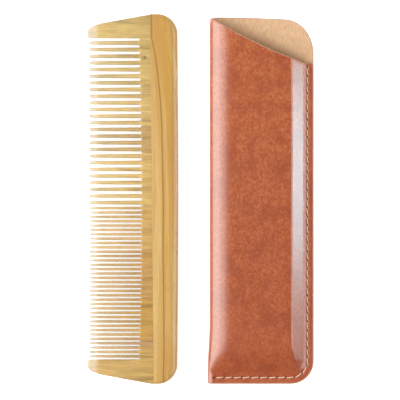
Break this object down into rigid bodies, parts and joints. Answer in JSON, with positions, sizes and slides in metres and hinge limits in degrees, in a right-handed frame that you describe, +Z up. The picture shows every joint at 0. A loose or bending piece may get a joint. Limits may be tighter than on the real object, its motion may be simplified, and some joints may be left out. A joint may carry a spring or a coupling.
{
  "type": "beard comb",
  "caption": "Wooden beard comb with coarse and fine teeth set in a solid spine, lying beside its folded and stitched leather sleeve.",
  "frame": {"origin": "on the resting plane, under the middle of the box around the comb and its sleeve", "axes": "+X from the comb's teeth across its spine to the sleeve, +Y along both pieces towards the coarse teeth and the sleeve's mouth, +Z up from the surface they lie on"},
  "size_m": [0.116, 0.19, 0.0092],
  "materials": {
    "spine_wood": "polished and oiled, grain lengthwise",
    "tooth_wood": "polished and oiled, grain along the teeth",
    "sleeve_leather": "glossy mottled tan",
    "sleeve_lining": "short brushed nap",
    "stitch_thread": "waxed thread"
  },
  "bodies": {
    "comb": {"comb_spine": "spine_wood", "tooth_block_1": "tooth_wood", "tooth_block_2": "tooth_wood", "tooth_block_3": "tooth_wood", "tooth_block_4": "tooth_wood", "tooth_block_5": "tooth_wood", "tooth_block_6": "tooth_wood", "tooth_block_7": "tooth_wood", "tooth_block_8": "tooth_wood"},
    "sleeve": {"sleeve_leather": "sleeve_leather", "sleeve_lining": "sleeve_lining", "needle_thread": "stitch_thread", "bobbin_thread": "stitch_thread"}
  },
  "joints": [
    {"name": "sleeve_lift", "type": "slide", "parent": "comb", "child": "sleeve", "axis": [0, 0, 1], "range_m": [0, 0.1]}
  ]
}
